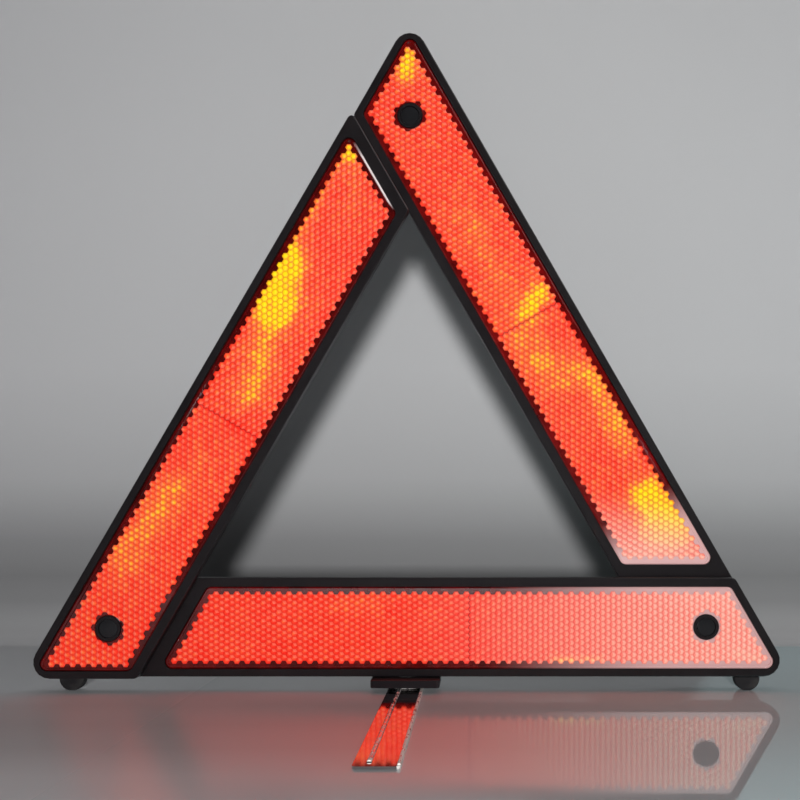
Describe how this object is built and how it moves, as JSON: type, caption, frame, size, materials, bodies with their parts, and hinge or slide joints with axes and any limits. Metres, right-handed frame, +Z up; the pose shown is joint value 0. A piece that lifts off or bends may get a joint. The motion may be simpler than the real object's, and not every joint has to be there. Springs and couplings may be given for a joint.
{
  "type": "folding warning triangle",
  "caption": "Folding roadside warning triangle: black arms with red prism reflectors, hinged at the lower corners, on a turning steel leg.",
  "frame": {"origin": "on the ground under the middle of the base arm", "axes": "+X along the base arm to the right as seen from the reflector side, +Y away from the reflector side, +Z up"},
  "size_m": [0.4298, 0.376, 0.3831],
  "materials": {
    "black_plastic": "fine moulded texture, satin",
    "red_prism": "moulded prism cells under a clear gloss rim",
    "black_cap": "smooth satin",
    "polished_steel": "bright plated",
    "spring_steel": "bare sheet",
    "nylon": "natural nylon",
    "rubber": "matt"
  },
  "bodies": {
    "base": {"base_arm_housing": "black_plastic", "base_arm_reflector": "red_prism", "right_pivot_cap": "black_cap", "right_pivot_rivet": "polished_steel", "right_pivot_spacer": "nylon", "right_pivot_retainer": "spring_steel", "left_foot": "rubber", "right_foot": "rubber", "stand_bracket": "black_plastic", "bracket_screw_left": "polished_steel", "bracket_screw_right": "polished_steel", "leg_rivet": "polished_steel", "leg_spring_washer": "spring_steel"},
    "left_arm": {"left_arm_housing": "black_plastic", "left_arm_reflector": "red_prism", "left_pivot_cap": "black_cap", "left_pivot_rivet": "polished_steel", "left_pivot_spacer": "nylon", "left_pivot_retainer": "spring_steel"},
    "right_arm": {"right_arm_housing": "black_plastic", "right_arm_reflector": "red_prism", "top_catch_cap": "black_cap", "top_catch_stud": "black_cap", "top_catch_clip": "spring_steel"},
    "leg": {"leg_strip": "polished_steel", "leg_washer": "polished_steel"}
  },
  "joints": [
    {"name": "left_arm_fold", "type": "hinge", "parent": "base", "child": "left_arm", "pos_m": [-0.1722, 0, 0.03675], "axis": [0, 0.9999, -0.014], "range_deg": [0, 60]},
    {"name": "right_arm_fold", "type": "hinge", "parent": "base", "child": "right_arm", "pos_m": [0.1722, 0, 0.03675], "axis": [0, -0.9999, -0.014], "range_deg": [0, 60]},
    {"name": "leg_turn", "type": "hinge", "parent": "base", "child": "leg", "pos_m": [-0.002, 0, 0.002], "axis": [0, 0, 1], "range_deg": [0, 90]}
  ]
}
